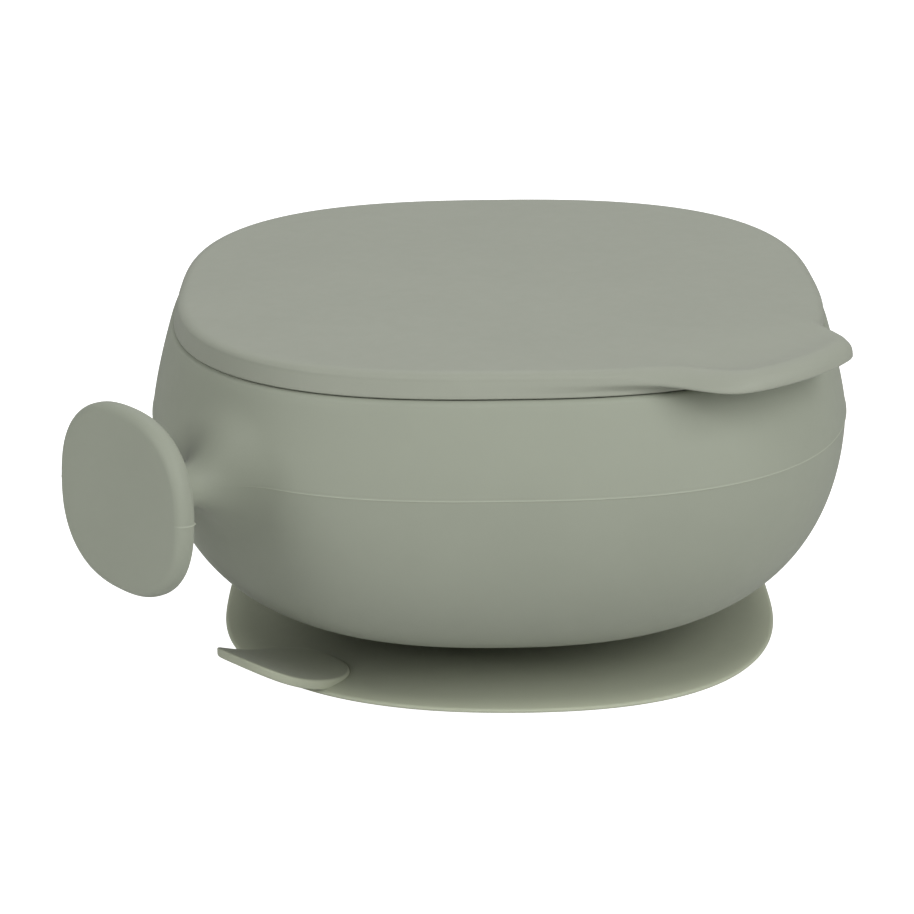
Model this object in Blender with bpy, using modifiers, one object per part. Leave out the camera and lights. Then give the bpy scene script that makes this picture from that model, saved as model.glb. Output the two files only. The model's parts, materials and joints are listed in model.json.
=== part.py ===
"""Silicone suction bowl with a lid, a side handle and a suction base. Metres, +Z up.

Seen from above, the bowl is a rounded square that stands on one corner: the handle points along -X from the
left corner, the lid's pull tab along -Y from the front corner, and the base's release tab lies under the
handle. The bowl and its handle are one moulding, and so is the base; each is split here only where a piece
of it flexes, or where a simpler solid gives a truer collision shape.
"""

import math

import bmesh
import bpy
from mathutils import Matrix, Vector

MM = 0.001
GAP = 0.3 * MM  # left between faces that touch

# Bowl: half-widths are measured square to the sides, and levels from the table.
BELLY_HALF = 62.5 * MM
BELLY_LEVEL = 43.8 * MM
BELLY_SQUARENESS = 2.65  # exponent of the rounded square: 2 is a circle, more is squarer
BOTTOM_LEVEL = 5.0 * MM
BOTTOM_SQUARENESS = 2.4
BOTTOM_FLAT = 14.0 * MM
SIDE_BEND = 4.11  # exponents of the rounded lower profile, sideways and downwards
DOWN_BEND = 2.17
SHELF_LEVEL = 59.4 * MM  # step that the lid's skirt comes down to
SHELF_HALF = 58.2 * MM
NECKING = 1.4  # how late the side turns in between the belly and the shelf
WALL = 3.2 * MM
FLOOR_LEVEL = 8.4 * MM
LIP_THICKNESS = 1.5 * MM
LIP_LEVEL = 61.3 * MM

# Lid
LID_TOP = 63.8 * MM
LID_PLATE = 1.8 * MM
LID_SKIRT = 1.4 * MM
SEAL_RIB = 1.6 * MM
SEAL_DROP = 1.2 * MM
SEAL_CLEARANCE = 1.2 * MM  # inside the bowl's lip: it keeps the rib off the lip as the corner peels up
LID_TAB_REACH = 10.8 * MM  # beyond the lid's rounded corner
LID_TAB_SPREAD = math.radians(17.4)  # half of the angle that it takes, seen from the bowl's axis
LID_TAB_TURN = math.radians(-2.5)  # its middle is this far round from the corner, towards the handle
LID_TAB_UNDERSIDE = 60.9 * MM
PEEL_LINE = 44.0 * MM  # from the bowl's axis to the line where the corner peels

# Handle: its distances run outwards from the bowl's axis, towards -X.
STEM_START = 68.4 * MM
STEM_START_LEVEL = 42.8 * MM
STEM_RADIUS = 3.6 * MM
STEM_FILLET = 5.0 * MM
PADDLE_REACH = 87.0 * MM
PADDLE_LEVEL = 44.7 * MM
PADDLE_HALF_WIDTH = 16.5 * MM
PADDLE_HALF_HEIGHT = 15.4 * MM
PADDLE_SQUARENESS = 2.38
PADDLE_THICKNESS = 3.5 * MM
PADDLE_EDGE_RADIUS = 1.5 * MM
PADDLE_TILT = math.radians(3.3)  # its outer face looks up a little
PADDLE_TURN = math.radians(-2.8)  # and a little towards +Y

# Suction base
RIM_HALF = 51.35 * MM
RIM_SQUARENESS = 2.61
RIM_SEAL_INNER = 46.0 * MM
HUB_RADIUS = 22.2 * MM
HUB_UNDERSIDE = 2.1 * MM
TAB_CENTRE = 54.75 * MM
TAB_HALF_LENGTH = 11.35 * MM
TAB_HALF_WIDTH = 9.5 * MM
TAB_SQUARENESS = 2.8
TAB_ROOT_TOP = 2.61 * MM
TAB_ROOT_UNDERSIDE = 1.75 * MM
TAB_TIP_THICKNESS = 1.6 * MM
TAB_TIP_RISE = 7.4 * MM

RING_POINTS = 72
SILICONE = (0.34, 0.36, 0.30, 1.0)


def clear_scene():
    for obj in list(bpy.data.objects):
        bpy.data.objects.remove(obj)


def new_collection(name):
    collection = bpy.data.collections.new(name)
    bpy.context.scene.collection.children.link(collection)
    return collection


def silicone(name, tint):
    """Matt silicone, a little lighter or darker than the bowl's own colour."""
    material = bpy.data.materials.new(name + "_silicone")
    material.use_nodes = True
    shader = material.node_tree.nodes["Principled BSDF"]
    colour = [channel * tint for channel in SILICONE[:3]] + [1.0]
    shader.inputs["Base Color"].default_value = colour
    shader.inputs["Roughness"].default_value = 0.55
    shader.inputs["Metallic"].default_value = 0.0
    material.diffuse_color = colour
    return material


def add_object(name, mesh, collection, tint=1.0):
    obj = bpy.data.objects.new(name, mesh)
    collection.objects.link(obj)
    obj.data.materials.append(silicone(name, tint))
    return obj


def squared_reach(half_width, exponent, angle):
    """Distance from the centre to a rounded square's side. Its corners lie on the X and Y axes."""
    across, along = abs(math.cos(angle + math.pi / 4)), abs(math.sin(angle + math.pi / 4))
    return half_width * (across**exponent + along**exponent) ** (-1 / exponent)


def lid_tab_share(angle):
    """1 over the pull tab near -Y, falling to 0 beside it."""
    away = abs((angle - 1.5 * math.pi - LID_TAB_TURN + math.pi) % math.tau - math.pi)
    return 1 / (1 + (away / LID_TAB_SPREAD) ** 6)


def ring(half_width, exponent, level, tab_reach=0.0, tab_drop=0.0):
    """One section of a rounded square, with the lid's pull tab standing out of it where it is asked for."""
    points = []
    for step in range(RING_POINTS):
        angle = math.tau * step / RING_POINTS
        tab = lid_tab_share(angle)
        reach = squared_reach(half_width, exponent, angle) + tab_reach * tab
        points.append(Vector((reach * math.cos(angle), reach * math.sin(angle), level - tab_drop * tab)))
    return points


def loft(name, rings, collection, closed=False, tint=1.0):
    """A solid through level sections: capped at both ends, or closed on itself as a hollow ring."""
    mesh = bpy.data.meshes.new(name)
    surface = bmesh.new()
    rows = [[surface.verts.new(point) for point in points] for points in rings]
    pairs = list(zip(rows, rows[1:]))
    if closed:
        pairs.append((rows[-1], rows[0]))
    else:
        surface.faces.new(list(reversed(rows[0])))
        surface.faces.new(rows[-1])
    for lower, upper in pairs:
        for here in range(len(lower)):
            there = (here + 1) % len(lower)
            surface.faces.new((lower[here], lower[there], upper[there], upper[here]))
    bmesh.ops.recalc_face_normals(surface, faces=surface.faces)
    surface.to_mesh(mesh)
    surface.free()
    mesh.shade_smooth()
    mesh.set_sharp_from_angle(angle=math.radians(40))
    return add_object(name, mesh, collection, tint)


def lower_section(turn, inset=0.0, floor=BOTTOM_LEVEL):
    """The rounded underside: turn runs from 0 at the belly to a quarter turn at the bottom."""
    sine, cosine = math.sin(turn), math.cos(turn)
    half_width = (BELLY_HALF - inset) * cosine ** (2 / SIDE_BEND)
    level = BELLY_LEVEL - (BELLY_LEVEL - floor) * sine ** (2 / DOWN_BEND)
    exponent = BELLY_SQUARENESS + (BOTTOM_SQUARENESS - BELLY_SQUARENESS) * sine
    return ring(half_width, exponent, level)


def upper_section(share, inset=0.0):
    """The side between the belly, at 0, and the shelf under the lid, at 1."""
    level = BELLY_LEVEL + share * (SHELF_LEVEL - BELLY_LEVEL)
    half_width = BELLY_HALF - (BELLY_HALF - SHELF_HALF) * share**NECKING
    return ring(half_width - inset, BELLY_SQUARENESS, level)


def bowl_shell(collection):
    last_turn = math.acos((BOTTOM_FLAT / BELLY_HALF) ** (SIDE_BEND / 2))
    turns = [last_turn * step / 9 for step in range(10)]
    shares = [step / 4 for step in range(1, 5)]
    lip_outer = SHELF_HALF - WALL + LIP_THICKNESS
    outside = [lower_section(turn) for turn in reversed(turns)]
    outside += [upper_section(share) for share in shares]
    lip = [
        ring(lip_outer, BELLY_SQUARENESS, SHELF_LEVEL),
        ring(lip_outer, BELLY_SQUARENESS, LIP_LEVEL),
        ring(lip_outer - LIP_THICKNESS, BELLY_SQUARENESS, LIP_LEVEL),
    ]
    inside = [upper_section(share, WALL) for share in reversed(shares)]
    inside += [lower_section(turn, WALL, FLOOR_LEVEL) for turn in turns]
    return loft("bowl_shell", outside + lip + inside, collection)


def handle_stem(collection):
    """A turned stem with a fillet towards the bowl. It rises a little on its way out to the paddle."""
    back_face = PADDLE_REACH - PADDLE_THICKNESS / 2 - 2 * GAP
    rise = math.atan2(PADDLE_LEVEL - STEM_START_LEVEL, PADDLE_REACH - STEM_START)
    length = (back_face - STEM_START) / math.cos(rise)
    steps = 6
    profile = [(0.0, length), (STEM_RADIUS, length)]
    for step in range(steps + 1):
        height = STEM_FILLET * (1 - step / steps)
        flare = STEM_FILLET - math.sqrt(STEM_FILLET**2 - (STEM_FILLET - height) ** 2)
        profile.append((STEM_RADIUS + flare * 0.8, height))
    profile.append((0.0, 0.0))
    mesh = bpy.data.meshes.new("handle_stem")
    edges = [(index, index + 1) for index in range(len(profile) - 1)]
    mesh.from_pydata([(radius, 0.0, height) for radius, height in profile], edges, [])
    stem = add_object("handle_stem", mesh, collection)
    turned = stem.modifiers.new("turned", "SCREW")
    turned.steps = turned.render_steps = 24
    turned.use_merge_vertices = True
    turned.merge_threshold = 0.00001
    stem.location = (-STEM_START, 0.0, STEM_START_LEVEL)
    stem.rotation_euler = (0.0, -(math.pi / 2 - rise), 0.0)
    return stem


def handle_paddle(collection):
    """A flat oval plate with rounded edges, square to the stem."""
    curve = bpy.data.curves.new("handle_paddle", "CURVE")
    curve.dimensions = "2D"
    curve.fill_mode = "BOTH"
    curve.extrude = PADDLE_THICKNESS / 2 - PADDLE_EDGE_RADIUS
    curve.bevel_depth = PADDLE_EDGE_RADIUS
    curve.bevel_resolution = 2
    curve.offset = -PADDLE_EDGE_RADIUS
    points = 40
    outline = curve.splines.new("POLY")
    outline.points.add(points - 1)
    outline.use_cyclic_u = True
    for index, point in enumerate(outline.points):
        angle = math.tau * index / points
        across, up = math.cos(angle), math.sin(angle)
        reach = (
            abs(across / PADDLE_HALF_WIDTH) ** PADDLE_SQUARENESS
            + abs(up / PADDLE_HALF_HEIGHT) ** PADDLE_SQUARENESS
        ) ** (-1 / PADDLE_SQUARENESS)
        point.co = (reach * across, reach * up, 0.0, 1.0)
    paddle = add_object("handle_paddle", curve, collection)
    # Local X runs across the handle, local Y up the plate and local Z along the stem, tilted up.
    level_part = math.cos(PADDLE_TILT)
    sideways = -level_part * math.sin(PADDLE_TURN)
    outward = Vector((-level_part * math.cos(PADDLE_TURN), sideways, math.sin(PADDLE_TILT)))
    across = Vector((math.sin(PADDLE_TURN), -math.cos(PADDLE_TURN), 0.0))
    upward = outward.cross(across)
    turned = Matrix((across, upward, outward)).transposed().to_4x4()
    paddle.matrix_world = Matrix.Translation((-PADDLE_REACH, 0.0, PADDLE_LEVEL)) @ turned
    return paddle


def suction_rim(collection):
    """The thin flexible rim: flat where it seals on the table, and domed inwards to the hub."""
    underside = [
        (HUB_RADIUS + 2 * GAP, 2.0, 1.5 * MM),
        (34.0 * MM, 2.3, 0.9 * MM),
        (RIM_SEAL_INNER - 3.0 * MM, 2.5, 0.3 * MM),
        (RIM_SEAL_INNER, RIM_SQUARENESS, 0.0),
        (RIM_HALF - 0.6 * MM, RIM_SQUARENESS, 0.0),
    ]
    topside = [
        (RIM_HALF, RIM_SQUARENESS, 0.5 * MM),
        (RIM_HALF - 0.5 * MM, RIM_SQUARENESS, 1.0 * MM),
        (RIM_HALF - 3.5 * MM, RIM_SQUARENESS, 1.3 * MM),
        (RIM_HALF - 9.5 * MM, 2.5, 1.4 * MM),
        (34.0 * MM, 2.3, 2.2 * MM),
        (HUB_RADIUS + 2 * GAP, 2.0, 3.0 * MM),
    ]
    rings = [ring(*section) for section in underside + topside]
    return loft("suction_rim", rings, collection, closed=True, tint=0.97)


def suction_hub(collection):
    """The disc that is bonded under the bowl. It flattens the rim when the bowl is pressed down."""
    height = BOTTOM_LEVEL - GAP - HUB_UNDERSIDE
    mesh = bpy.data.meshes.new("suction_hub")
    disc = bmesh.new()
    bmesh.ops.create_cone(
        disc, cap_ends=True, segments=RING_POINTS, radius1=HUB_RADIUS, radius2=HUB_RADIUS, depth=height
    )
    disc.to_mesh(mesh)
    disc.free()
    mesh.shade_smooth()
    mesh.set_sharp_from_angle(angle=math.radians(40))
    hub = add_object("suction_hub", mesh, collection, tint=0.97)
    hub.location = (0.0, 0.0, HUB_UNDERSIDE + height / 2)
    return hub


def release_tab(collection):
    """A finger tab that lies on the rim and curls up past its edge. Its origin is on the hinge line."""
    points = 36
    length = 2 * TAB_HALF_LENGTH
    underside_rise = TAB_ROOT_TOP + TAB_TIP_RISE - TAB_TIP_THICKNESS - TAB_ROOT_UNDERSIDE
    hinge = Vector((-(TAB_CENTRE - TAB_HALF_LENGTH), 0.0, TAB_ROOT_UNDERSIDE))

    def outline(scale, height_share):
        """One loop round the tab: height_share is 0 on its underside and 1 on its top."""
        loop = []
        for index in range(points):
            angle = math.tau * index / points
            along, across = math.cos(angle), math.sin(angle)
            reach = scale * (
                abs(along / TAB_HALF_LENGTH) ** TAB_SQUARENESS
                + abs(across / TAB_HALF_WIDTH) ** TAB_SQUARENESS
            ) ** (-1 / TAB_SQUARENESS)
            from_root = TAB_HALF_LENGTH + reach * along
            curl = (from_root / length) ** 2
            under = TAB_ROOT_UNDERSIDE + underside_rise * curl
            top = TAB_ROOT_TOP + TAB_TIP_RISE * curl
            level = under + height_share * (top - under)
            loop.append(Vector((-(TAB_CENTRE + reach * along), reach * across, level)) - hinge)
        return loop

    rings = [outline(scale, 0.0) for scale in (0.05, 0.35, 0.7, 0.95)]
    rings += [outline(1.0, 0.35), outline(1.0, 0.65)]
    rings += [outline(scale, 1.0) for scale in (0.95, 0.7, 0.35, 0.05)]
    tab = loft("release_tab", rings, collection, tint=0.97)
    tab.location = hinge
    return tab


def lid_rings():
    """The lid's sections, from the middle of its underside out over the seal rib and skirt to its top.

    Each has its half-width, its level, its share of the tab's reach and how far it droops at the tab.
    """
    underside = LID_TOP - LID_PLATE
    rib_outer = SHELF_HALF - WALL - SEAL_CLEARANCE
    skirt_inner = SHELF_HALF - LID_SKIRT
    skirt_end = SHELF_LEVEL + GAP
    sections = [
        (rib_outer - SEAL_RIB, underside, 0.0, 0.0),
        (rib_outer - SEAL_RIB, underside - SEAL_DROP, 0.0, 0.0),
        (rib_outer, underside - SEAL_DROP, 0.0, 0.0),
        (rib_outer, underside, 0.0, 0.0),
        (skirt_inner, underside, 0.0, 0.0),
        (skirt_inner, skirt_end, 0.0, 0.0),
        (SHELF_HALF - 0.2 * MM, skirt_end, 0.0, 0.0),
        (SHELF_HALF, skirt_end + 0.3 * MM, 0.0, 0.0),
        (SHELF_HALF, LID_TAB_UNDERSIDE - 0.15 * MM, 0.0, 0.0),
        (SHELF_HALF, LID_TAB_UNDERSIDE, 0.92, 0.0),
        (SHELF_HALF, LID_TAB_UNDERSIDE + 0.6 * MM, 1.0, 0.2 * MM),
        (SHELF_HALF - 0.4 * MM, LID_TOP - 1.1 * MM, 0.98, 0.5 * MM),
        (SHELF_HALF - 1.4 * MM, LID_TOP - 0.4 * MM, 0.9, 0.6 * MM),
        (SHELF_HALF - 2.8 * MM, LID_TOP - 0.05 * MM, 0.45, 0.5 * MM),
        (SHELF_HALF - 4.0 * MM, LID_TOP, 0.0, 0.0),
    ]
    return [
        ring(half_width, BELLY_SQUARENESS, level, share * LID_TAB_REACH, droop)
        for half_width, level, share, droop in sections
    ]


def corner_cutter(name, edge, collection):
    """A block over everything in front of the line y = edge."""
    size = 3 * BELLY_HALF
    mesh = bpy.data.meshes.new(name)
    block = bmesh.new()
    bmesh.ops.create_cube(block, size=size)
    block.to_mesh(mesh)
    block.free()
    cutter = bpy.data.objects.new(name, mesh)
    cutter.location = (0.0, edge - size / 2, LID_TOP)
    cutter.hide_render = True
    cutter.display_type = "WIRE"
    collection.objects.link(cutter)
    return cutter


def cut(obj, cutter, operation):
    boolean = obj.modifiers.new("corner", "BOOLEAN")
    boolean.operation = operation
    boolean.solver = "EXACT"
    boolean.object = cutter


def lid_panels(collection, cutters):
    """The lid in two pieces that meet along the line where its corner peels up."""
    panel = loft("lid", lid_rings(), collection, tint=1.03)
    corner = loft("lid_corner", lid_rings(), collection, tint=1.03)
    cut(panel, corner_cutter("panel_cutter", -PEEL_LINE + GAP / 2, cutters), "DIFFERENCE")
    cut(corner, corner_cutter("corner_cutter", -PEEL_LINE - GAP / 2, cutters), "INTERSECT")
    return [panel, corner]


def centre_footprint(parts, frame):
    """Moves the whole so that the middle of its footprint, handle and tabs included, is at the origin."""
    bpy.context.view_layer.update()
    graph = bpy.context.evaluated_depsgraph_get()
    corners = []
    for part in parts:
        solid = part.evaluated_get(graph)
        mesh = solid.to_mesh()
        corners += [solid.matrix_world @ vertex.co for vertex in mesh.vertices]
        solid.to_mesh_clear()
    for axis in (0, 1):
        values = [corner[axis] for corner in corners]
        frame.location[axis] = -(min(values) + max(values)) / 2


def main():
    clear_scene()
    collection = new_collection("suction_bowl")
    cutters = new_collection("cutters")
    parts = [
        bowl_shell(collection),
        handle_stem(collection),
        handle_paddle(collection),
        suction_rim(collection),
        suction_hub(collection),
        release_tab(collection),
    ]
    parts += lid_panels(collection, cutters)
    frame = bpy.data.objects.new("bowl_axis", None)
    collection.objects.link(frame)
    for helper in list(collection.objects) + list(cutters.objects):
        if helper is not frame:
            helper.parent = frame
    centre_footprint(parts, frame)


main()
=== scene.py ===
"""Looks of the silicone suction bowl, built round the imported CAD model. Metres, +Z up.

Every shape here is worked out round the bowl's own axis, with the handle towards -X and the lid's pull tab
towards -Y, and is moved to where that axis stands in the frame.
"""

import json
import math

import bmesh
import bpy
import numpy as np
from mathutils import Matrix, Quaternion, Vector

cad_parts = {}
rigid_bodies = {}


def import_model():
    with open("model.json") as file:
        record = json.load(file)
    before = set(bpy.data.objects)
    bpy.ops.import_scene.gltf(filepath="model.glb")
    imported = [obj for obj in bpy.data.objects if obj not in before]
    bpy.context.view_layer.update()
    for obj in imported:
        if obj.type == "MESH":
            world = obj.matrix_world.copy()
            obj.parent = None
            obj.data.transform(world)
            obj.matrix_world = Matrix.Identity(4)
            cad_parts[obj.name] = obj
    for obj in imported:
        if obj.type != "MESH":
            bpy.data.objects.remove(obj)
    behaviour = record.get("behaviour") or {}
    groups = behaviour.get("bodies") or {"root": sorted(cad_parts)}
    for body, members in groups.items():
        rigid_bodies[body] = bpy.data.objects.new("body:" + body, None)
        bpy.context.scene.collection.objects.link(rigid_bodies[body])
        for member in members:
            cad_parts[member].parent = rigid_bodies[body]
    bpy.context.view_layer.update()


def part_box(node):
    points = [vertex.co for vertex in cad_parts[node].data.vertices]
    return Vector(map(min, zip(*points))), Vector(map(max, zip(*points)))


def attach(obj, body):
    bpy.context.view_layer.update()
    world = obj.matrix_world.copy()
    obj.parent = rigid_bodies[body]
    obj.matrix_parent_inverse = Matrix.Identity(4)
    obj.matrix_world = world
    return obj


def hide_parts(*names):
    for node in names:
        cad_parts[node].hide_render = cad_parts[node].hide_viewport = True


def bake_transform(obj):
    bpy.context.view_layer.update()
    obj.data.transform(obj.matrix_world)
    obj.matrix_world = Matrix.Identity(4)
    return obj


MM = 0.001
AROUND = 360  # points in a level section

# Bowl
BELLY_HALF, BELLY_LEVEL, BELLY_SQUARENESS = 62.5 * MM, 43.8 * MM, 2.65
BOTTOM_LEVEL, BOTTOM_SQUARENESS = 5.0 * MM, 2.4
SIDE_BEND, DOWN_BEND = 4.11, 2.17  # exponents of the rounded lower profile
SHELF_LEVEL, SHELF_HALF, NECKING = 59.4 * MM, 58.7 * MM, 1.3
SHELF_SQUARENESS, SHELF_ROUNDING = 2.55, 1.2 * MM
WALL, FLOOR_LEVEL = 3.2 * MM, 8.4 * MM
LIP_INNER, LIP_OUTER, LIP_LEVEL = 55.0 * MM, 56.5 * MM, 61.3 * MM
PARTING_HEIGHT, PARTING_WIDTH = 0.15 * MM, 0.16 * MM  # the raised line where the mould's halves met
WINDOW_REACH = 14  # points or rows from the middle to the edge of the window that the stem grows from

# Handle
FILLET_REACH = 12.5 * MM  # from the stem's axis to where its fillet leaves the wall
FILLET_PULL = 4.6 * MM  # how far the fillet follows the wall, and the stem, before it curves
STEM_RADIUS = 3.55 * MM
STEM_SHARES = (0.25, 0.5, 0.75, 1.0)  # where loops lie along the stem, and across the paddle's back
STEM_INNER, STEM_INNER_LEVEL = 75.0 * MM, 43.5 * MM
STEM_OUTER, STEM_OUTER_LEVEL = 82.4 * MM, 44.25 * MM
PADDLE_REACH, PADDLE_LEVEL = 87.0 * MM, 44.6 * MM
PADDLE_HALF_WIDTH, PADDLE_HALF_HEIGHT, PADDLE_SQUARENESS = 16.75 * MM, 15.6 * MM, 2.38
PADDLE_THICKNESS = 3.5 * MM
PADDLE_TILT, PADDLE_TURN = math.radians(3.3), math.radians(-2.8)  # its face looks a little up, and to +Y
PADDLE_OUTER_ROUNDING, PADDLE_INNER_ROUNDING = 1.7 * MM, 1.2 * MM
PADDLE_FILLET = 2.6 * MM

# Lid
LID_TOP = 63.8 * MM
LID_HALF, LID_SKIRT_HALF, LID_SQUARENESS = 57.4 * MM, 58.2 * MM, 2.62
LID_PLATE, LID_SKIRT = 1.8 * MM, 1.4 * MM
LID_ROUNDING, LID_EASE = 1.2 * MM, 2.0 * MM  # the top edge's rounding, downwards and inwards
LID_TAB_REACH, LID_TAB_SPREAD = 10.6 * MM, math.radians(15)
LID_TAB_WIDER, LID_TAB_NARROWER = 1.07, 0.22  # spread towards the handle: below, and how much less on top
LID_TAB_FLARE, LID_FLARE_SPREAD = 0.11, math.radians(29)  # share of the tab's reach that flares out wider
LID_TAB_TURN, LID_TAB_UNDERSIDE = math.radians(-2.5), 60.9 * MM
LID_TAB_EASE = 0.09  # share of the tab's reach that its round edge takes
LID_TAB_DISH = 0.45 * MM  # how far the tab's top dips inside its raised edge
SKIRT_GAP, SKIRT_ROUNDING = 0.22 * MM, 0.3 * MM  # the gap is between the skirt and the bowl's shelf
SEAL_CLEARANCE, SEAL_RIB, SEAL_DROP = 1.2 * MM, 1.6 * MM, 1.2 * MM  # rib inside the lip: gap, width, depth

# Base
RIM_HALF, RIM_SQUARENESS = 51.35 * MM, 2.61
RIM_EDGE, RIM_EDGE_LEVEL = 0.45 * MM, 0.72 * MM  # radius of the rim's round edge, and its middle's level
RIM_LIFT, RIM_LIFT_SPREAD = 1.18 * MM, math.radians(52)  # how the release tab holds the rim's edge up
RIM_LIFT_FROM, RIM_LIFT_ZONE = 38 * MM, 16 * MM  # where the rise starts, outwards, and how far it takes
RIM_PAINTED_LIGHT_FROM = 45.0 * MM  # outwards from here the rim is painted lighter and lighter, painted light for the light that comes through it
TAB_CENTRE = 54.55 * MM
TAB_HALF_LENGTH, TAB_HALF_WIDTH, TAB_SQUARENESS = 11.15 * MM, 9.5 * MM, 2.8
TAB_ROOT_TOP, TAB_TIP_RISE = 2.61 * MM, 7.4 * MM
TAB_TIP_THICKNESS, TAB_ROOT_THICKNESS, TAB_EDGE = 1.8 * MM, 2.1 * MM, 0.45 * MM
TAB_EDGE_PAINTED_LIGHT = 0.8  # share of painted light on the tab's round edge, where the rim's thinnest edge has 1

# Materials
BOWL_SILICONE = (0.333, 0.358, 0.288)
BASE_SILICONE = (0.330, 0.350, 0.268)
LID_SILICONE = (0.342, 0.362, 0.298)
CLOUDINESS = 0.015  # how far the colour drifts either way
ROUGHNESS = 0.56, 0.64  # the two ends of its drift
CLOUDS, PATCHES, GRAIN = 55.0, 400.0, 2600.0  # noise scales of the colour, the roughness and the bump
PAINTED_LIGHT_TINT = 1.45  # how much lighter the silicone is painted: a painted highlight on the parting line, and painted light where the rim and the tab's edge are thin

# Studio
SKY = 0.12  # brightness of the room all round
LIGHTS = [  # name, azimuth and elevation in degrees, size in metres and power in watts
    ("left_key", 176, 35, 0.65, 5.6),
    ("front_key", -90, 35, 0.9, 8.2),
    ("right_top", -60, 55, 0.9, 1.3),
    ("back_top", 44, 50, 0.9, 4.0),
]
LIGHT_DISTANCE, LIGHT_TARGET = 1.2, Vector((0, 0, 0.03))
TABLE_BOUNCE = 0.85  # how much of the light that falls on the white table comes back up
WHITE_GLOW = 1.2  # bright enough for the table and the room to look pure white to the camera
CAMERA_PLACE, CAMERA_TARGET = Vector((-318.8, -304.2, 189.52)) * MM, Vector((-5.32, 5.39, 28.69)) * MM
CAMERA_LENS, CAMERA_ROLL = 98.92, -0.0104  # millimetres for a 36 mm sensor, and radians

SIDE_LEAN = math.atan(NECKING * (BELLY_HALF - SHELF_HALF) / (SHELF_LEVEL - BELLY_LEVEL))


# Outlines and profiles


def squared_reach(half, exponent, angle):
    """Distance from the axis to a rounded square whose corners lie on the X and Y axes."""
    across, along = np.abs(np.cos(angle + math.pi / 4)), np.abs(np.sin(angle + math.pi / 4))
    return half * (across**exponent + along**exponent) ** (-1 / exponent)


def angles(count=AROUND):
    """Angles of the points in a loop."""
    return np.arange(count) * math.tau / count


def section(half, exponent, level):
    """One level section of a rounded square, as points."""
    turn = angles()
    reach = squared_reach(half, exponent, turn)
    return np.stack([reach * np.cos(turn), reach * np.sin(turn), np.full(AROUND, level)], 1)


def evenly(rows, spacing):
    """A profile's rows, (half-width, level, ...), spread out evenly along it."""
    rows = np.array(rows)
    steps = np.hypot(*np.diff(rows[:, :2], axis=0).T)
    along = np.concatenate([[0], np.cumsum(steps)])
    count = max(2, round(along[-1] / spacing) + 1)
    wanted = np.linspace(0, along[-1], count)
    return np.stack([np.interp(wanted, along, column) for column in rows.T], 1)


def arc(centre, radius, start, end, exponent, steps):
    """Rows of a rounded corner about centre, from one angle to another."""
    turns = np.radians(np.linspace(start, end, steps))
    return [(centre[0] + radius * math.cos(t), centre[1] + radius * math.sin(t), exponent) for t in turns]


def lower_profile(inset, floor):
    """The rounded underside from the middle of the bottom out to the belly."""
    turn = np.radians(np.linspace(89.6, 0, 400))
    sine, cosine = np.sin(turn), np.cos(turn)
    half = (BELLY_HALF - inset) * cosine ** (2 / SIDE_BEND)
    level = BELLY_LEVEL - (BELLY_LEVEL - floor) * sine ** (2 / DOWN_BEND)
    exponent = BELLY_SQUARENESS + (BOTTOM_SQUARENESS - BELLY_SQUARENESS) * sine
    return np.stack([half, level, exponent], 1)


def upper_profile(top, inset=0.0, top_inset=0.0):
    """The side from the belly up to just under the shelf, set in by an amount that changes on the way up."""
    share = np.linspace(0, (top - BELLY_LEVEL) / (SHELF_LEVEL - BELLY_LEVEL), 200)
    half = BELLY_HALF - (BELLY_HALF - SHELF_HALF) * share**NECKING - inset - (top_inset - inset) * share
    level = BELLY_LEVEL + share * (SHELF_LEVEL - BELLY_LEVEL)
    return np.stack([half, level, BELLY_SQUARENESS + (SHELF_SQUARENESS - BELLY_SQUARENESS) * share], 1)


# Meshes


class Skin:
    """Points and faces of one mesh, gathered loop by loop."""

    def __init__(self):
        self.points, self.faces = [], []

    def add(self, points):
        """Adds a loop's points and gives their indices."""
        start = len(self.points)
        self.points.extend(map(tuple, points))
        return list(range(start, len(self.points)))

    def bridge(self, first, second, skipped=()):
        """Faces between two loops of the same length."""
        for here in range(len(first)):
            if here not in skipped:
                there = (here + 1) % len(first)
                self.faces.append((first[here], first[there], second[there], second[here]))

    def cap(self, loop, point, last):
        """A fan that closes a loop with one point in its middle."""
        middle = self.add([point])[0]
        for here in range(len(loop)):
            there = (here + 1) % len(loop)
            corner = (loop[here], loop[there], middle)
            self.faces.append(corner if last else corner[::-1])

    def piece(self, name, crests_and_painted_light=None, height=0.0):
        """The finished object. Points with a share are painted lighter by it, as painted light, and stand
        out by height.
        """
        mesh = bpy.data.meshes.new(name)
        mesh.from_pydata(self.points, [], self.faces)
        loose = {v.index for v in mesh.vertices} - {i for face in self.faces for i in face}
        shares = crests_and_painted_light or {}
        normals = {index: mesh.vertices[index].normal.copy() for index in shares}
        # Painted light: each point's share of the lighter tint, read by the material.
        painted_light = mesh.attributes.new("painted_light", "FLOAT", "POINT")
        for index, share in shares.items():
            mesh.vertices[index].co += normals[index] * height * share
            painted_light.data[index].value = share
        if loose:
            drop_points(mesh, loose)
        mesh.transform(Matrix.Translation(AXIS))
        mesh.shade_smooth()
        obj = bpy.data.objects.new(name, mesh)
        bpy.context.scene.collection.objects.link(obj)
        return obj


def drop_points(mesh, indices):
    """Deletes points that no face uses, such as those hidden in the window behind the stem."""
    work = bmesh.new()
    work.from_mesh(mesh)
    work.verts.ensure_lookup_table()
    bmesh.ops.delete(work, geom=[work.verts[index] for index in indices], context="VERTS")
    work.to_mesh(mesh)
    work.free()


def bezier(start, leave, arrive, end, steps):
    """Points of a cubic curve after its first one, for whole loops of points at once."""
    shares = np.linspace(0, 1, steps + 1)[1:]
    return [
        (1 - t) ** 3 * start + 3 * (1 - t) ** 2 * t * leave + 3 * (1 - t) * t**2 * arrive + t**3 * end
        for t in shares
    ]


# Bowl and handle


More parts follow.
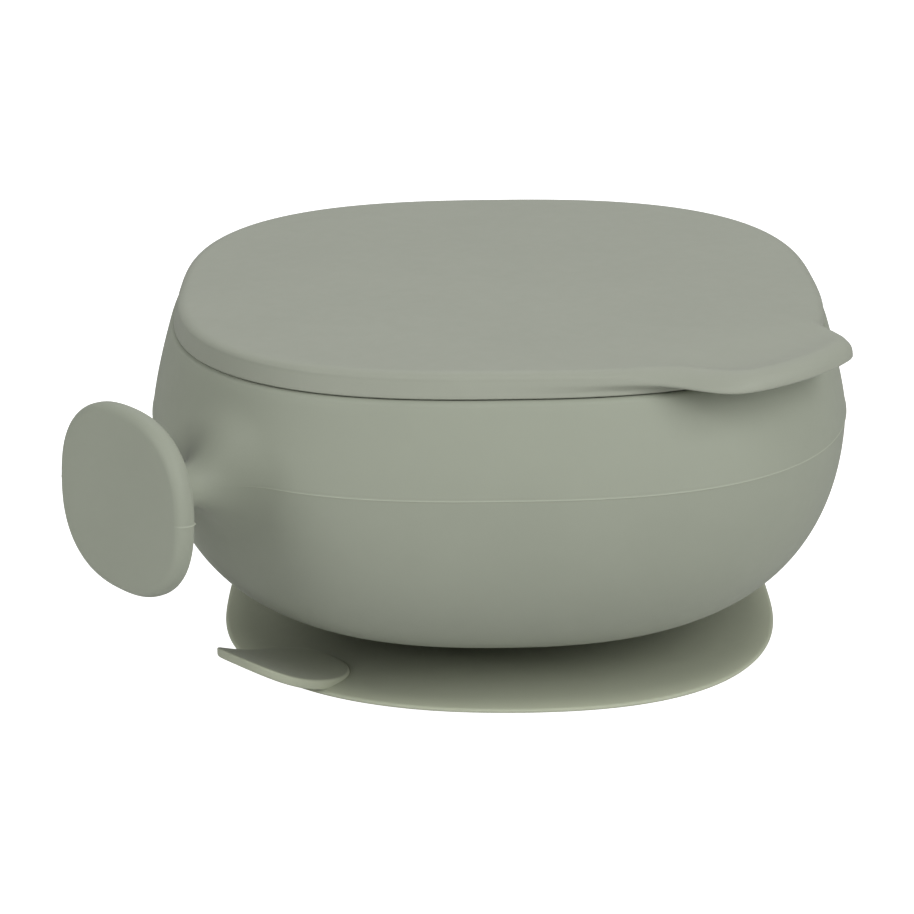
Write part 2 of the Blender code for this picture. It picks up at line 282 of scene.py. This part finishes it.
def outer_rows():
    """The bowl's outer profile, with close rows for the parting line. Also gives that line's row."""
    below = lower_profile(0, BOTTOM_LEVEL)
    above = upper_profile(SHELF_LEVEL - SHELF_ROUNDING * (1 - math.sin(SIDE_LEAN)))
    close = np.array([-2, -1, 0, 1, 2]) * PARTING_WIDTH
    clear, spacing = 0.3 * MM, 1.2 * MM
    below = evenly(below[below[:, 1] < BELLY_LEVEL + close[0] - clear], spacing)
    above = evenly(above[above[:, 1] > BELLY_LEVEL + close[-1] + clear], spacing)
    line = np.array([(BELLY_HALF, BELLY_LEVEL + offset, BELLY_SQUARENESS) for offset in close])
    return np.concatenate([below, line, above]), len(below) + len(close) // 2


def lip_rows(side_end):
    """From the end of the side, over the shelf's round edge, in to the lip and over it."""
    inside_corner, round_over = 0.25 * MM, 0.55 * MM
    edge = (side_end[0] - SHELF_ROUNDING * math.cos(SIDE_LEAN), SHELF_LEVEL - SHELF_ROUNDING)
    corner = (LIP_OUTER + inside_corner, SHELF_LEVEL + inside_corner)
    rows = arc(edge, SHELF_ROUNDING, math.degrees(SIDE_LEAN), 90, SHELF_SQUARENESS, 8)[1:]
    rows += arc(corner, inside_corner, 270, 180, SHELF_SQUARENESS, 4)
    rows += arc((LIP_OUTER - round_over, LIP_LEVEL - round_over), round_over, 0, 90, SHELF_SQUARENESS, 6)
    rows += arc((LIP_INNER + round_over, LIP_LEVEL - round_over), round_over, 90, 180, SHELF_SQUARENESS, 6)
    return rows


def wall_point(across, level, profile):
    """The point of the outer wall on the handle's side that lies across to the right of it, at a level."""
    half = np.interp(level, profile[:, 1], profile[:, 0])
    exponent = np.interp(level, profile[:, 1], profile[:, 2])
    low, high = 0.5 * half, 1.3 * half
    for _ in range(40):
        middle = (low + high) / 2
        total = np.abs(middle + across) ** exponent + np.abs(middle - across) ** exponent
        inside = total < (math.sqrt(2) * half) ** exponent
        low, high = np.where(inside, middle, low), np.where(inside, high, middle)
    return np.stack([-middle, -across, level], 1)


def bowl():
    """Bowl, stem and paddle as one skin: the stem's loops grow out of a window in the wall's grid."""
    skin = Skin()
    outer, crest_row = outer_rows()
    spacing = 1.5 * MM
    inner_side = evenly(upper_profile(SHELF_LEVEL, WALL, SHELF_HALF - LIP_INNER)[::-1], spacing)
    inner_floor = evenly(lower_profile(WALL, FLOOR_LEVEL)[::-1], spacing)[1:]
    rows = np.concatenate([outer, np.array(lip_rows(outer[-1])), inner_side, inner_floor])
    loops = [skin.add(section(half, exponent, level)) for half, level, exponent in rows]

    window_rows = range(crest_row - WINDOW_REACH, crest_row + WINDOW_REACH)
    left, right = AROUND // 2 - WINDOW_REACH, AROUND // 2 + WINDOW_REACH
    for index, (lower, upper) in enumerate(zip(loops, loops[1:])):
        skin.bridge(lower, upper, range(left, right) if index in window_rows else ())
    skin.cap(loops[0], (0, 0, rows[0][1]), last=False)
    skin.cap(loops[-1], (0, 0, rows[-1][1]), last=True)

    bottom, top = window_rows[0], window_rows[-1] + 1
    edge = [loops[row][right] for row in range(bottom, top)]
    edge += [loops[top][column] for column in range(right, left, -1)]
    edge += [loops[row][left] for row in range(top, bottom, -1)]
    edge += [loops[bottom][column] for column in range(left, right)]
    sides = [edge.index(loops[crest_row][column]) for column in (right, left)]
    hidden = loops[crest_row][left + 1 : right]
    # The parting line's crest is raised, and painted lighter as a painted highlight.
    crests_and_painted_light = {index: 1.0 for index in loops[crest_row] if index not in hidden}
    for loop, share in handle_loops(np.array([skin.points[index] for index in edge]), outer):
        added = skin.add(loop)
        skin.bridge(edge, added)
        crests_and_painted_light.update((added[side], share) for side in sides)
        edge = added
    skin.cap(edge, np.mean([skin.points[index] for index in edge], axis=0), last=True)
    return skin.piece("bowl_body", crests_and_painted_light, PARTING_HEIGHT)


def handle_loops(window, profile):
    """The handle's loops, from the window in the wall out to the middle of the paddle's outer face.

    Each comes with the share of the parting line's height, and of its painted highlight, that it has: the
    line fades out where the stem leaves the wall, and shows again across the paddle's edge.
    """
    across, level = -window[:, 1], window[:, 2]
    turn = np.arctan2(level - BELLY_LEVEL, across)
    right, up = np.cos(turn), np.sin(turn)
    loops = []

    def add(points, first_share, last_share):
        """Adds loops, with shares that change evenly from the first to the last and never go below zero."""
        shares = np.clip(np.linspace(first_share, last_share, len(points)), 0, None)
        loops.extend(zip(points, shares))

    def on_wall(radius):
        """Points of the wall at distances from the stem's middle, sideways and up."""
        return wall_point(radius * right, BELLY_LEVEL + radius * up, profile)

    reach = np.hypot(across, level - BELLY_LEVEL)
    steps = [on_wall(reach + share * (FILLET_REACH - reach)) for share in np.linspace(0, 1, 6)[1:]]
    add(steps, 1, 1)
    leave = steps[-1]
    tangent = on_wall(FILLET_REACH - 0.4 * MM) - leave
    tangent /= np.linalg.norm(tangent, axis=1)[:, None]

    start = Vector((-STEM_INNER, 0, STEM_INNER_LEVEL))
    end = Vector((-STEM_OUTER, 0, STEM_OUTER_LEVEL))
    out = (end - start).normalized()
    upright = np.array(out.cross(Vector((0, -1, 0))))
    out = np.array(out)
    rightward = np.array((0.0, -1.0, 0.0))

    def stem_loop(centre):
        return np.array(centre) + STEM_RADIUS * (right[:, None] * rightward + up[:, None] * upright)

    inner = stem_loop(start)
    add(bezier(leave, leave + FILLET_PULL * tangent, inner - FILLET_PULL * out, inner, 16), 0.9, -1)
    add([stem_loop(start.lerp(end, share)) for share in STEM_SHARES], 0, 0)

    outward = np.array((-math.cos(PADDLE_TURN), -math.sin(PADDLE_TURN), 0.0)) * math.cos(PADDLE_TILT)
    outward[2] = math.sin(PADDLE_TILT)
    right_plate = np.array((math.sin(PADDLE_TURN), -math.cos(PADDLE_TURN), 0.0))
    up_plate = np.cross(outward, right_plate)
    centre = np.array((-PADDLE_REACH, 0.0, PADDLE_LEVEL))

    def plate_loop(reach, height):
        """A loop in the paddle, at a height over its middle plane. reach may differ from point to point."""
        plane = right[:, None] * right_plate + up[:, None] * up_plate
        return centre + height * outward + np.atleast_1d(reach)[:, None] * plane

    outline = (
        np.abs(right / PADDLE_HALF_WIDTH) ** PADDLE_SQUARENESS
        + np.abs(up / PADDLE_HALF_HEIGHT) ** PADDLE_SQUARENESS
    ) ** (-1 / PADDLE_SQUARENESS)
    back, front = -PADDLE_THICKNESS / 2, PADDLE_THICKNESS / 2
    around_stem = STEM_RADIUS + PADDLE_FILLET
    landing = plate_loop(around_stem, back)
    spread = landing - plate_loop(STEM_RADIUS, back)
    last = loops[-1][0]
    add(bezier(last, last + 0.6 * PADDLE_FILLET * out, landing - 0.6 * spread, landing, 7), 0, 0)

    rounding = PADDLE_INNER_ROUNDING
    flat = outline - rounding
    add([plate_loop(around_stem + share * (flat - around_stem), back) for share in STEM_SHARES], 0, 0)
    edge = [
        plate_loop(flat + rounding * math.cos(t), back + rounding * (1 + math.sin(t)))
        for t in np.radians(np.linspace(-90, 0, 8))[1:]
    ]
    add(edge, 2, 1)

    rounding = PADDLE_OUTER_ROUNDING
    flat = outline - rounding
    edge = [
        plate_loop(flat + rounding * math.cos(t), front - rounding * (1 - math.sin(t)))
        for t in np.radians(np.linspace(0, 90, 10))
    ]
    add(edge, 1, 0)
    add([plate_loop(flat * share, front) for share in np.linspace(1, 0.08, 10)[1:]], 0, 0)
    return loops


# Base


def foot():
    """The thin rim that seals on the table, domed up to a short neck that is bonded under the bowl."""
    skin = Skin()
    # Half-widths and levels in millimetres, and squareness: the underside outwards, then the top inwards.
    rows = [(0.5, 2.3, 2.0), (20.0, 2.2, 2.0), (24.0, 1.9, 2.05), (34.0, 0.95, 2.3), (43.0, 0.3, 2.5)]
    rows += [(46.0, 0.02, 2.61), (46.6, 0.0, 2.61), (49.4, 0.0, 2.61), (50.1, 0.1, 2.61), (50.7, 0.32, 2.61)]
    rows = [(half * MM, level * MM, exponent) for half, level, exponent in rows]
    rows += arc((RIM_HALF - RIM_EDGE, RIM_EDGE_LEVEL), RIM_EDGE, -20, 90, RIM_SQUARENESS, 8)
    top = [(48.0, 1.35, 2.61), (45.0, 1.45, 2.58), (41.0, 1.6, 2.5), (34.0, 2.05, 2.3), (29.0, 2.5, 2.15)]
    top += [(26.0, 3.0, 2.05), (24.0, 3.6, 2.0), (22.8, 4.3, 2.0), (22.3, 5.0, 2.0), (22.2, 5.7, 2.0)]
    top += [(15.0, 5.7, 2.0), (0.5, 5.7, 2.0)]
    rows += [(half * MM, level * MM, exponent) for half, level, exponent in top]
    loops, painted_light = [], {}
    for half, level, exponent in evenly(rows, 0.4 * MM):
        points = section(half, exponent, level)
        points[:, 2] += rim_lift(points)
        loops.append(skin.add(points))
        # Painted light: the rim is painted lighter towards its thin outer edge, for light that comes through
        # it.
        painted_light_share = max(0.0, (half - RIM_PAINTED_LIGHT_FROM) / (RIM_HALF - RIM_PAINTED_LIGHT_FROM)) ** 2
        painted_light.update((index, painted_light_share) for index in loops[-1])
    for lower, upper in zip(loops, loops[1:]):
        skin.bridge(lower, upper)
    skin.cap(loops[0], (0, 0, rows[0][1]), last=False)
    skin.cap(loops[-1], (0, 0, rows[-1][1]), last=True)
    return skin.piece("suction_foot", painted_light)


def rim_lift(points):
    """How far the release tab's pull holds the rim up at each point: most at its edge under the handle."""
    turn = np.arctan2(points[:, 1], -points[:, 0])
    out = np.clip((np.hypot(points[:, 0], points[:, 1]) - RIM_LIFT_FROM) / RIM_LIFT_ZONE, 0, 1)
    beside = np.clip(np.abs(turn) / RIM_LIFT_SPREAD, 0, 1)
    return RIM_LIFT * (1 + np.cos(math.pi * beside)) / 2 * out**2 * (3 - 2 * out)


def tab():
    """The release tab: a thin rounded plate that lies on the rim at its root and curls up to its tip."""
    skin = Skin()
    turn = angles(120)
    along, across = np.cos(turn), np.sin(turn)
    outline = (
        np.abs(along / TAB_HALF_LENGTH) ** TAB_SQUARENESS + np.abs(across / TAB_HALF_WIDTH) ** TAB_SQUARENESS
    ) ** (-1 / TAB_SQUARENESS)
    loops, painted_light = [], {}

    def loop(reach, share, from_underside):
        """A loop at a share of the thickness, from 1 at the underside to 0 on top, and a rise from there."""
        from_root = (TAB_HALF_LENGTH + reach * along) / (2 * TAB_HALF_LENGTH)
        thickness = TAB_ROOT_THICKNESS + (TAB_TIP_THICKNESS - TAB_ROOT_THICKNESS) * from_root
        level = TAB_ROOT_TOP + TAB_TIP_RISE * from_root**2 - share * thickness + from_underside
        points = np.stack([-(TAB_CENTRE + reach * along), -reach * across, level], 1)
        loops.append(skin.add(points))

    flat = outline - TAB_EDGE
    for share in np.linspace(0.04, 1, 12):
        loop(flat * share, 1, 0)
    # The round edge is painted lighter, as painted light, all over its lower half and fading out over its
    # upper half.
    for edge in np.radians(np.linspace(-90, 0, 6))[1:]:
        loop(flat + TAB_EDGE * math.cos(edge), 1, TAB_EDGE * (1 + math.sin(edge)))
        painted_light.update((index, TAB_EDGE_PAINTED_LIGHT) for index in loops[-1])
    for edge in np.radians(np.linspace(0, 90, 6)):
        loop(flat + TAB_EDGE * math.cos(edge), 0, -TAB_EDGE * (1 - math.sin(edge)))
        painted_light.update((index, TAB_EDGE_PAINTED_LIGHT * math.cos(edge)) for index in loops[-1])
    for share in np.linspace(1, 0.04, 12)[1:]:
        loop(flat * share, 0, 0)
    for lower, upper in zip(loops, loops[1:]):
        skin.bridge(lower, upper)
    for ends, last in ((loops[0], False), (loops[-1], True)):
        skin.cap(ends, np.mean([skin.points[index] for index in ends], axis=0), last)
    return skin.piece("release_tab_skin", painted_light)


# Lid


def lid():
    """The whole lid: plate, soft edge, skirt, seal rib and the pull tab that stands out of its edge."""
    skin = Skin()
    turn = angles()
    # The angle from the tab's middle, from -pi to pi and negative towards the handle.
    along = (turn - 1.5 * math.pi - LID_TAB_TURN + math.pi) % math.tau - math.pi
    flare = LID_TAB_FLARE / (1 + np.abs(along / LID_FLARE_SPREAD) ** 6)

    def tab_share(level):
        """Share of the tab's reach at each angle. Its side towards the handle is wider below than on top."""
        rise = min(1.0, max(0.0, (level - LID_TAB_UNDERSIDE) / (LID_TOP - LID_TAB_UNDERSIDE)))
        wider = LID_TAB_WIDER - LID_TAB_NARROWER * rise
        spread = np.where(along < 0, wider * LID_TAB_SPREAD, LID_TAB_SPREAD)
        crispness = np.where(along < 0, 8, 12)
        return flare + (1 - LID_TAB_FLARE) / (1 + np.abs(along / spread) ** crispness)

    underside = LID_TOP - LID_PLATE
    rib_outer = LIP_INNER - SEAL_CLEARANCE
    rib_inner = rib_outer - SEAL_RIB
    rib_end = underside - SEAL_DROP
    skirt_inner = LID_SKIRT_HALF - LID_SKIRT
    skirt_end = SHELF_LEVEL + SKIRT_GAP
    side_top = LID_TOP - LID_ROUNDING
    lean = (LID_SKIRT_HALF - LID_HALF) / (side_top - skirt_end)

    def side(level):
        """Half-width of the lid's side, which leans in towards its top."""
        return LID_SKIRT_HALF - lean * (level - skirt_end)

    # Each row has its half-width and its level away from the tab, its share of the tab's reach, and its
    # level on the tab. The seal rib and the skirt have no share in the tab.
    rows = [(0.5 * MM, underside), (rib_inner - 0.4 * MM, underside), (rib_inner, underside - 0.3 * MM)]
    rows += [(rib_inner + 0.2 * MM, rib_end + 0.3 * MM), (rib_inner + 0.6 * MM, rib_end)]
    rows += [(rib_outer - 0.4 * MM, rib_end), (rib_outer, rib_end + 0.4 * MM), (rib_outer, underside)]
    rows += [(skirt_inner - 0.2 * MM, underside), (skirt_inner, underside - 0.2 * MM)]
    rows += [(skirt_inner, skirt_end + 0.2 * MM), (skirt_inner + 0.2 * MM, skirt_end)]
    for turn_over in np.radians(np.linspace(-90, 0, 5)):
        level = skirt_end + SKIRT_ROUNDING * (1 + math.sin(turn_over))
        rows.append((side(level) - SKIRT_ROUNDING * (1 - math.cos(turn_over)), level))
    rows = [(half, level, 0.0, level) for half, level in rows]
    # Up the lid's side, which the tab takes out along its own underside: shares of its reach, and rises.
    tab_rows = [(0, -0.4), (0.06, -0.1), (0.3, 0), (0.6, 0), (0.88, 0), (0.96, 0.04), (0.99, 0.15), (1, 0.4)]
    side_levels = np.linspace(skirt_end + 0.5 * MM, side_top, len(tab_rows))
    for level, (share, rise) in zip(side_levels, tab_rows):
        tab_level = LID_TAB_UNDERSIDE + rise * MM
        rows.append((side(level), level, share, tab_level))
    tip_start = tab_level
    for turn_over in np.radians(np.linspace(6, 90, 15)):
        over, level = math.cos(turn_over), side_top + LID_ROUNDING * math.sin(turn_over)
        tab_level = tip_start + (LID_TOP - tip_start) * math.sin(turn_over)
        rows.append((LID_HALF - LID_EASE * (1 - over), level, 1 - LID_TAB_EASE * (1 - over), tab_level))
    # In from the round edge, in millimetres: shares of the tab's reach and of the dish's depth.
    dish = [(0.4, 0.87, 0.25), (0.9, 0.8, 0.75), (1.6, 0.68, 1.0), (2.4, 0.48, 0.9), (3.2, 0.24, 0.5)]
    for inward, share, depth in dish:
        rows.append((LID_HALF - LID_EASE - inward * MM, LID_TOP, share, LID_TOP - depth * LID_TAB_DISH))
    rows += [(LID_HALF - 6.2 * MM, LID_TOP, 0, LID_TOP), (0.5 * MM, LID_TOP, 0, LID_TOP)]

    loops = []
    for half, level, share, tab_level in thickened(rows):
        out = tab_share(tab_level)
        reach = squared_reach(half, LID_SQUARENESS, turn) + share * LID_TAB_REACH * out
        height = level + (tab_level - level) * (out - flare) / (1 - LID_TAB_FLARE)
        loops.append(skin.add(np.stack([reach * np.cos(turn), reach * np.sin(turn), height], 1)))
    for lower, upper in zip(loops, loops[1:]):
        skin.bridge(lower, upper)
    skin.cap(loops[0], (0, 0, underside), last=False)
    skin.cap(loops[-1], (0, 0, LID_TOP), last=True)
    return skin.piece("lid_skin")


def thickened(rows, longest=1.6 * MM):
    """The same rows with more put between those that are far apart."""
    fuller = [rows[0]]
    for row in rows[1:]:
        last = fuller[-1]
        length = math.hypot(row[0] - last[0], row[1] - last[1]) + abs(row[2] - last[2]) * LID_TAB_REACH
        parts = max(1, math.ceil(length / longest))
        for step in range(1, parts + 1):
            fuller.append(tuple(a + (b - a) * step / parts for a, b in zip(last, row)))
    return fuller


# Surfaces


def silicone(name, base):
    """Matt moulded silicone: a fine blasted grain, faint cloudiness and a soft powdery sheen."""
    material = bpy.data.materials.new(name)
    material.use_nodes = True
    nodes, links = material.node_tree.nodes, material.node_tree.links
    shader = nodes["Principled BSDF"]
    place = nodes.new("ShaderNodeTexCoord")

    def noise(scale, detail):
        node = nodes.new("ShaderNodeTexNoise")
        node.inputs["Scale"].default_value = scale
        node.inputs["Detail"].default_value = detail
        links.new(place.outputs["Object"], node.inputs["Vector"])
        return node.outputs["Fac"]

    def ramp(source, dark, light):
        node = nodes.new("ShaderNodeValToRGB")
        node.color_ramp.elements[0].position, node.color_ramp.elements[1].position = 0.3, 0.7
        node.color_ramp.elements[0].color, node.color_ramp.elements[1].color = dark, light
        links.new(source, node.inputs["Fac"])
        return node.outputs["Color"]

    def tinted(factor):
        return [channel * factor for channel in base] + [1.0]

    def grey(value):
        return (value, value, value, 1.0)

    # Painted light: points with a share in the mesh's attribute get the lighter tint, a painted highlight on
    # the parting line and painted light at the thin edges of the rim and the tab.
    painted_light = nodes.new("ShaderNodeAttribute")
    painted_light.attribute_name = "painted_light"
    colour = nodes.new("ShaderNodeMix")
    colour.data_type = "RGBA"
    colour.inputs["B"].default_value = tinted(PAINTED_LIGHT_TINT)
    links.new(painted_light.outputs["Fac"], colour.inputs["Factor"])
    links.new(ramp(noise(CLOUDS, 3.0), tinted(1 - CLOUDINESS), tinted(1 + CLOUDINESS)), colour.inputs["A"])
    links.new(colour.outputs["Result"], shader.inputs["Base Color"])
    links.new(ramp(noise(PATCHES, 2.0), *map(grey, ROUGHNESS)), shader.inputs["Roughness"])
    shader.inputs["Specular IOR Level"].default_value = 0.35
    shader.inputs["Sheen Weight"].default_value = 0.12
    shader.inputs["Sheen Roughness"].default_value = 0.45
    bump = nodes.new("ShaderNodeBump")
    bump.inputs["Strength"].default_value = 0.25
    bump.inputs["Distance"].default_value = 0.04 * MM
    links.new(noise(GRAIN, 2.0), bump.inputs["Height"])
    links.new(bump.outputs["Normal"], shader.inputs["Normal"])
    return material


def finish_piece(piece, material):
    """Gives a piece its only material."""
    piece.data.materials.clear()
    piece.data.materials.append(material)


# Table, room, lights and camera


def plain_material(name, shade, glow):
    """A matt white or grey with no gloss, which may give off light."""
    material = bpy.data.materials.new(name)
    material.use_nodes = True
    shader = material.node_tree.nodes["Principled BSDF"]
    shader.inputs["Base Color"].default_value = (shade, shade, shade, 1)
    shader.inputs["Roughness"].default_value = 1.0
    shader.inputs["Specular IOR Level"].default_value = 0.0
    shader.inputs["Emission Color"].default_value = (1, 1, 1, 1)
    shader.inputs["Emission Strength"].default_value = glow
    return material


def level_plane(name, size, level, material):
    """A staged plane that isn't mirrored in anything."""
    bpy.ops.mesh.primitive_plane_add(size=size, location=(0, 0, level))
    plane = bpy.context.object
    plane.name = name
    plane.visible_glossy = False
    plane.data.materials.append(material)
    return plane


def room():
    """A dim room to the object, which looks white to the camera."""
    world = bpy.data.worlds.new("room")
    bpy.context.scene.world = world
    world.use_nodes = True
    nodes, links = world.node_tree.nodes, world.node_tree.links
    dim, white = nodes["Background"], nodes.new("ShaderNodeBackground")
    for background, strength in ((dim, SKY), (white, WHITE_GLOW)):
        background.inputs["Color"].default_value = (1, 1, 1, 1)
        background.inputs["Strength"].default_value = strength
    ray, mix = nodes.new("ShaderNodeLightPath"), nodes.new("ShaderNodeMixShader")
    links.new(ray.outputs["Is Camera Ray"], mix.inputs["Fac"])
    links.new(dim.outputs["Background"], mix.inputs[1])
    links.new(white.outputs["Background"], mix.inputs[2])
    links.new(mix.outputs["Shader"], nodes["World Output"].inputs["Surface"])


def table():
    """Two planes for a white table: the one that is seen is overexposed, and the other throws light back."""
    seen = level_plane("table_seen", 12.0, 0.0, plain_material("table_seen", 0.3, WHITE_GLOW))
    seen.visible_diffuse = seen.visible_shadow = False
    lit = level_plane("table_lit", 4.0, -0.1 * MM, plain_material("table_lit", TABLE_BOUNCE, 0.0))
    lit.visible_camera = False


def lamps():
    """Soft round lamps, all facing the object."""
    for name, azimuth, elevation, size, power in LIGHTS:
        lamp = bpy.data.lights.new(name, "AREA")
        lamp.shape = "DISK"
        lamp.size = size
        lamp.energy = power
        stand = bpy.data.objects.new(name, lamp)
        rise, turn = math.radians(elevation), math.radians(azimuth)
        level = math.cos(rise)
        toward = Vector((level * math.cos(turn), level * math.sin(turn), math.sin(rise)))
        stand.location = LIGHT_TARGET + LIGHT_DISTANCE * toward
        stand.rotation_euler = toward.to_track_quat("Z", "Y").to_euler()
        bpy.context.scene.collection.objects.link(stand)


def camera():
    """Looks down at the corner between the handle and the lid's tab, as a product photograph would."""
    data = bpy.data.cameras.new("camera")
    data.sensor_width = 36.0
    data.lens = CAMERA_LENS
    data.clip_start = 0.01
    view = bpy.data.objects.new("camera", data)
    aim = (CAMERA_TARGET - CAMERA_PLACE).to_track_quat("-Z", "Y")
    view.rotation_mode = "QUATERNION"
    view.rotation_quaternion = aim @ Quaternion((0, 0, 1), CAMERA_ROLL)
    view.location = AXIS + CAMERA_PLACE
    bpy.context.scene.collection.objects.link(view)
    bpy.context.scene.camera = view


# Build

for old in list(bpy.data.objects):
    bpy.data.objects.remove(old)
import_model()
low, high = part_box("suction_hub")
AXIS = Vector(((low.x + high.x) / 2, (low.y + high.y) / 2, 0.0))

bowl_silicone = silicone("bowl_silicone", BOWL_SILICONE)
base_silicone = silicone("base_silicone", BASE_SILICONE)
lid_silicone = silicone("lid_silicone", LID_SILICONE)

bowl_body = bowl()
finish_piece(bowl_body, bowl_silicone)
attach(bowl_body, "bowl")
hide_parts("bowl_shell", "handle_stem", "handle_paddle")

suction_foot = foot()
finish_piece(suction_foot, base_silicone)
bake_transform(suction_foot)
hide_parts("suction_rim", "suction_hub")

release_tab = tab()
finish_piece(release_tab, base_silicone)
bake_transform(release_tab)
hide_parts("release_tab")

lid_skin = lid()
finish_piece(lid_skin, lid_silicone)
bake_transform(lid_skin)
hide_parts("lid", "lid_corner")

bpy.context.scene.view_settings.view_transform = "Standard"
room()
table()
lamps()
camera()
